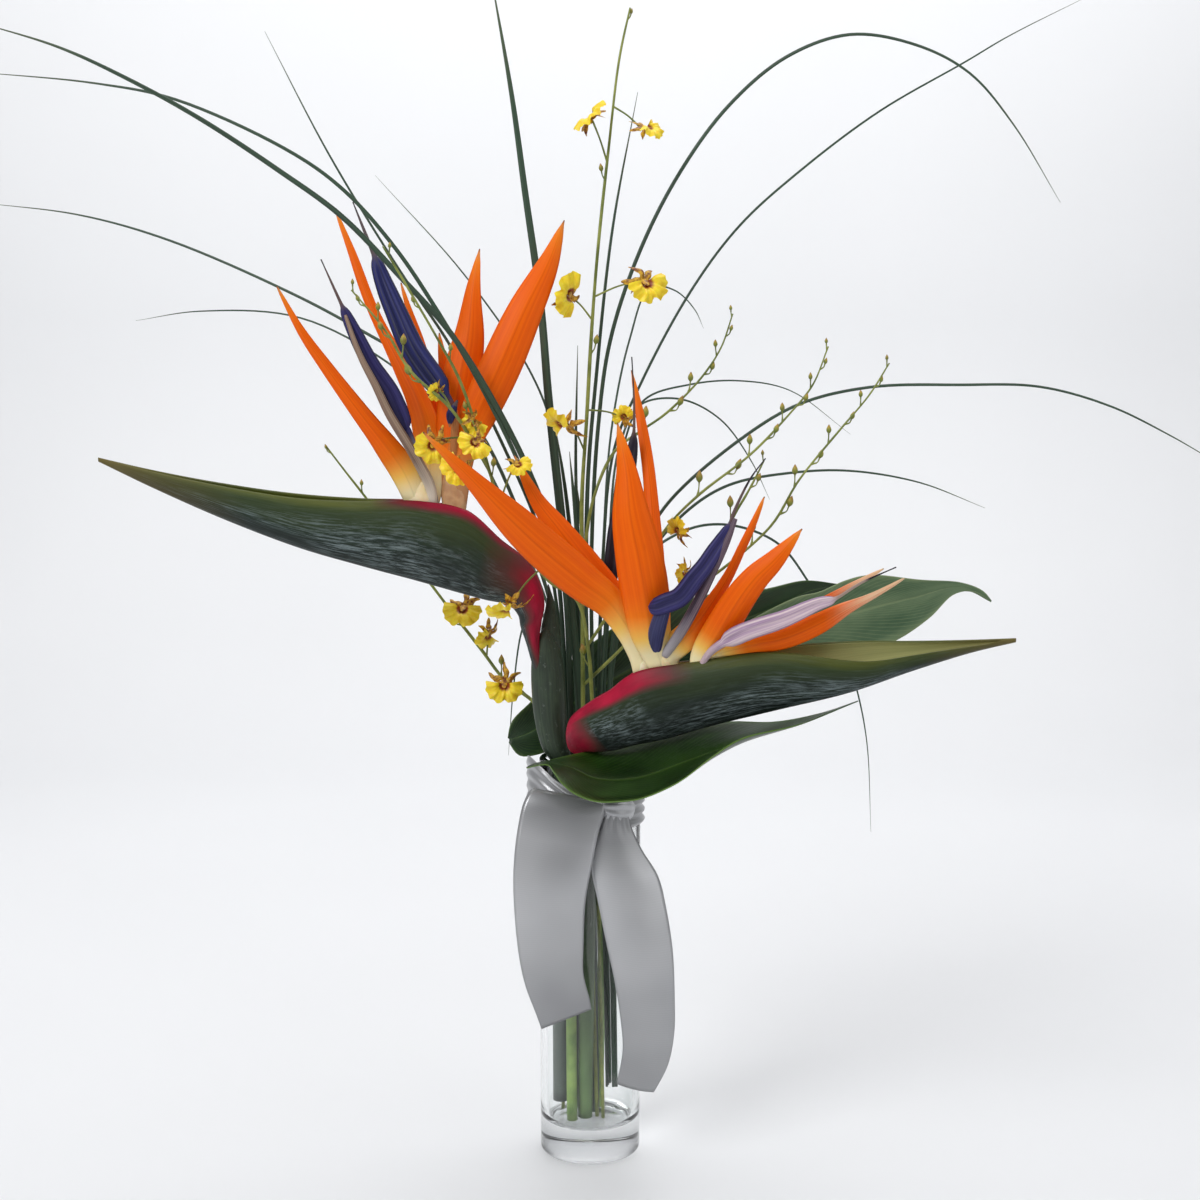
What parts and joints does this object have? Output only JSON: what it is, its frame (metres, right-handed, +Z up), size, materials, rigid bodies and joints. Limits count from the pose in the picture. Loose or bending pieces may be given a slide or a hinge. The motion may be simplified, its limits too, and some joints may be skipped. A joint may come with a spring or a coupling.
{
  "type": "bird of paradise flower arrangement in a glass vase",
  "caption": "Cut bird of paradise blooms with broad leaves, arching grass and small yellow orchid sprays, standing in a tall clear glass cylinder vase with a satin ribbon tied at its neck.",
  "frame": {"origin": "centre of the vase's underside", "axes": "+Z up along the vase's axis, the front of the arrangement towards -Y, +X to the right seen from the front"},
  "size_m": [0.6222, 0.2236, 0.5732],
  "materials": {
    "glass": "clear, polished",
    "ribbon": "satin, silver grey",
    "stalk": "smooth plant skin with a waxy bloom",
    "bract": "waxy, streaked, crimson at the neck",
    "sepal": "glossy petal, cream at its foot",
    "arrow": "velvety petal",
    "leaf": "satin leaf with fine veins",
    "orchid": "soft petals on green stems",
    "grass": "satin blade"
  },
  "bodies": {
    "root": {"vase": "glass", "ribbon": "ribbon", "left_stalk": "stalk", "left_bract": "bract", "left_floret_1": "sepal", "left_arrow_1": "arrow", "left_floret_2": "sepal", "left_arrow_2": "arrow", "right_stalk": "stalk", "right_bract": "bract", "right_floret_1": "sepal", "right_arrow_1": "arrow", "right_floret_2": "sepal", "right_arrow_2": "arrow", "right_floret_3": "sepal", "right_arrow_3": "arrow", "leaf_front": "leaf", "leaf_right": "leaf", "leaf_back": "leaf", "grass_left": "grass", "grass_middle": "grass", "grass_right": "grass", "orchid_spray_tall": "orchid", "orchid_spray_front": "orchid", "orchid_spray_low": "orchid"}
  },
  "joints": []
}
